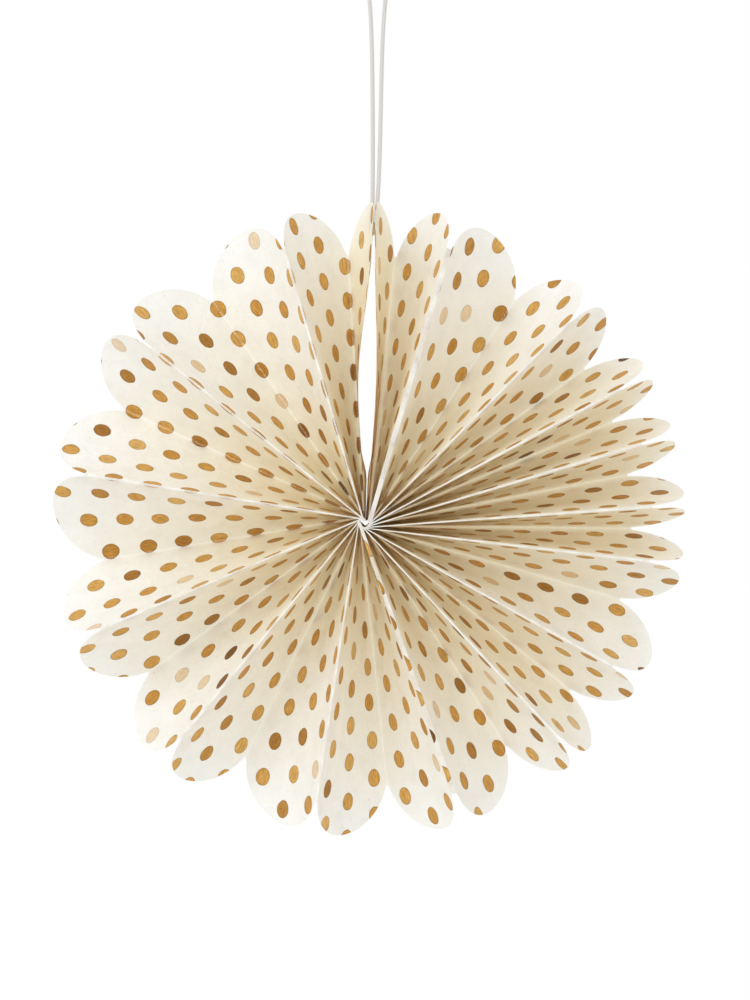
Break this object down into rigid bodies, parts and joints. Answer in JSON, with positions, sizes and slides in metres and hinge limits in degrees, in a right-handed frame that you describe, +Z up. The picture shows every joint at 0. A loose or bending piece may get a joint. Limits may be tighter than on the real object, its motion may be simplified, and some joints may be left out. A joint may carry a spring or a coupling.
{
  "type": "paper fan rosette",
  "caption": "Pleated paper fan rosette with scalloped petals, gold polka dots and a cotton hanging cord.",
  "frame": {"origin": "on the axis of the hub, halfway through the rosette's depth", "axes": "+Z up to the hanging cord, -Y out of the front face, +X to the right seen from the front"},
  "size_m": [0.2983, 0.0604, 0.4181],
  "materials": {
    "paper": "matt ivory with gold dots",
    "cord": "twisted cotton"
  },
  "bodies": {
    "root": {"paper_strip_short": "paper", "paper_strip_right": "paper", "paper_strip_left": "paper", "cord_knot": "cord", "hanging_cord": "cord"}
  },
  "joints": []
}
